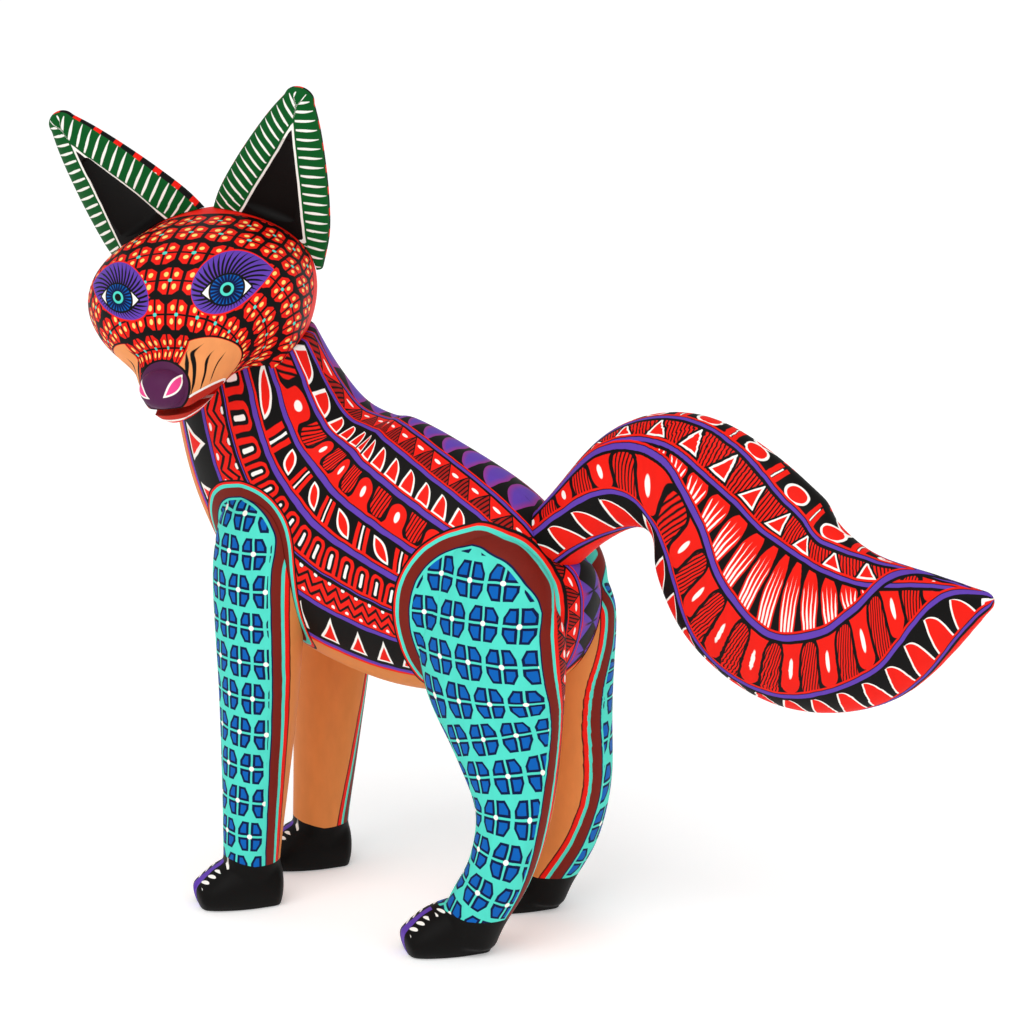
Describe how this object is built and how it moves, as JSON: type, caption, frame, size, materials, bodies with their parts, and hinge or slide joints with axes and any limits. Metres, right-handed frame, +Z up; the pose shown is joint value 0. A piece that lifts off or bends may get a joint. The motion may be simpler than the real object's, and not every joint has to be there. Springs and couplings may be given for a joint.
{
  "type": "carved fox figure",
  "caption": "Carved and painted wooden fox standing on its legs with its head turned to one side, with push-fit ears and a push-fit bushy tail.",
  "frame": {"origin": "middle of the figure's box, on the surface that it stands on", "axes": "+X from the chest to the tail, +Y towards the fox's right side, +Z up"},
  "size_m": [0.3636, 0.1156, 0.3036],
  "materials": {
    "trunk_paint": "hand-painted acrylic on smooth wood: red ground with black, purple and white bands of patterns, satin",
    "head_paint": "hand-painted acrylic on smooth wood: red four-petal cells on black with purple eye patches, satin",
    "leg_paint": "hand-painted acrylic on smooth wood: turquoise with blue four-petal flowers, tan inner sides and black paws, satin",
    "tail_paint": "hand-painted acrylic on smooth wood: red tongues and triangles on black with purple lines, satin",
    "ear_paint": "hand-painted acrylic on smooth wood: green rim with white strokes, black hollow, black and red back, satin",
    "bare_wood": "bare sanded dowel"
  },
  "bodies": {
    "carving": {"trunk": "trunk_paint", "head": "head_paint", "neck_dowel": "bare_wood", "leg_front_left": "leg_paint", "leg_front_left_dowel_upper": "bare_wood", "leg_front_left_dowel_lower": "bare_wood", "leg_front_right": "leg_paint", "leg_front_right_dowel_upper": "bare_wood", "leg_front_right_dowel_lower": "bare_wood", "leg_hind_left": "leg_paint", "leg_hind_left_dowel_upper": "bare_wood", "leg_hind_left_dowel_lower": "bare_wood", "leg_hind_right": "leg_paint", "leg_hind_right_dowel_upper": "bare_wood", "leg_hind_right_dowel_lower": "bare_wood"},
    "tail": {"tail": "tail_paint", "tail_peg": "bare_wood"},
    "ear_left": {"ear_left": "ear_paint", "ear_left_peg": "bare_wood"},
    "ear_right": {"ear_right": "ear_paint", "ear_right_peg": "bare_wood"}
  },
  "joints": [
    {"name": "tail_pull", "type": "slide", "parent": "carving", "child": "tail", "axis": [0.6891, 0.0003, 0.7247], "range_m": [0, 0.04]},
    {"name": "ear_left_pull", "type": "slide", "parent": "carving", "child": "ear_left", "axis": [0.3602, -0.1847, 0.9144], "range_m": [0, 0.022]},
    {"name": "ear_right_pull", "type": "slide", "parent": "carving", "child": "ear_right", "axis": [-0.538, -0.3431, 0.7699], "range_m": [0, 0.022]}
  ]
}
